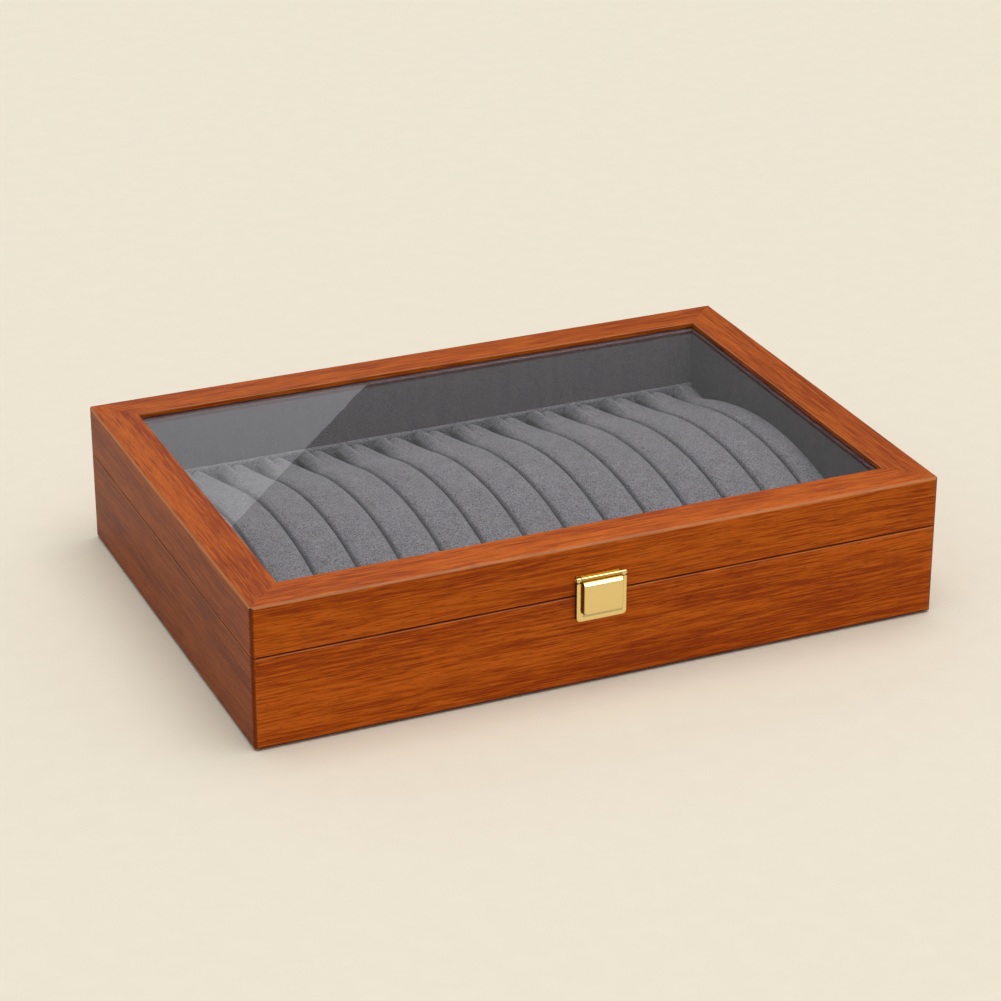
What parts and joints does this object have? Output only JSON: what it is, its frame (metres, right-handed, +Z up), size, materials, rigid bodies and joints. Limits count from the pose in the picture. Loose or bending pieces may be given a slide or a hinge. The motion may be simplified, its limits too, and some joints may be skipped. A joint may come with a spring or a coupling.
{
  "type": "ring display box",
  "caption": "Shallow stained wooden box with a hinged, glazed lid, a gilt flap clasp and a grey suede cushion of arched rolls with ring slits.",
  "frame": {"origin": "on the table under the middle of the case", "axes": "+X to the right along the long front, +Y to the hinged back, +Z up; the clasp is at the front, on -Y"},
  "size_m": [0.35, 0.254, 0.073],
  "materials": {
    "stained_wood": "reddish brown stain under satin lacquer, fine straight grain along each rail",
    "plywood": "sanded plywood",
    "felt": "dark pressed felt",
    "liner_suede": "grey suede cloth over board",
    "cushion_suede": "grey suede cloth over foam, short nap",
    "glass": "clear float glass",
    "gilt_brass": "gilt, satin with polished edges",
    "hinge_brass": "polished brass"
  },
  "bodies": {
    "base": {"base_front": "stained_wood", "base_back": "stained_wood", "base_left": "stained_wood", "base_right": "stained_wood", "base_bottom": "plywood", "base_felt": "felt", "liner_front": "liner_suede", "liner_back": "liner_suede", "liner_left": "liner_suede", "liner_right": "liner_suede", "cushion_board": "cushion_suede", "cushion_back_strip": "cushion_suede", "cushion_front_strip": "cushion_suede", "ring_roll_01": "cushion_suede", "ring_roll_02": "cushion_suede", "ring_roll_03": "cushion_suede", "ring_roll_04": "cushion_suede", "ring_roll_05": "cushion_suede", "ring_roll_06": "cushion_suede", "ring_roll_07": "cushion_suede", "ring_roll_08": "cushion_suede", "ring_roll_09": "cushion_suede", "ring_roll_10": "cushion_suede", "ring_roll_11": "cushion_suede", "ring_roll_12": "cushion_suede", "ring_roll_13": "cushion_suede", "edge_roll_left": "cushion_suede", "edge_roll_right": "cushion_suede", "hinge_left_base_leaf": "hinge_brass", "hinge_right_base_leaf": "hinge_brass", "hinge_left_pin": "hinge_brass", "hinge_right_pin": "hinge_brass", "hinge_base_screws": "hinge_brass", "clasp_keeper": "gilt_brass", "clasp_keeper_screws": "hinge_brass"},
    "lid": {"lid_front": "stained_wood", "lid_back": "stained_wood", "lid_left": "stained_wood", "lid_right": "stained_wood", "glass_pane": "glass", "lid_lining_front": "liner_suede", "lid_lining_back": "liner_suede", "lid_lining_left": "liner_suede", "lid_lining_right": "liner_suede", "hinge_left_lid_leaf": "hinge_brass", "hinge_right_lid_leaf": "hinge_brass", "hinge_lid_screws": "hinge_brass", "clasp_plate": "gilt_brass", "clasp_pin": "gilt_brass", "clasp_plate_screws": "hinge_brass"},
    "flap": {"clasp_flap": "gilt_brass"}
  },
  "joints": [
    {"name": "lid_hinge", "type": "hinge", "parent": "base", "child": "lid", "pos_m": [0, 0.1251, 0.047], "axis": [-1, 0, 0], "range_deg": [0, 95]},
    {"name": "flap_hinge", "type": "hinge", "parent": "lid", "child": "flap", "pos_m": [-0.0045, -0.1238, 0.0557], "axis": [-1, 0, 0], "range_deg": [0, 100]}
  ]
}
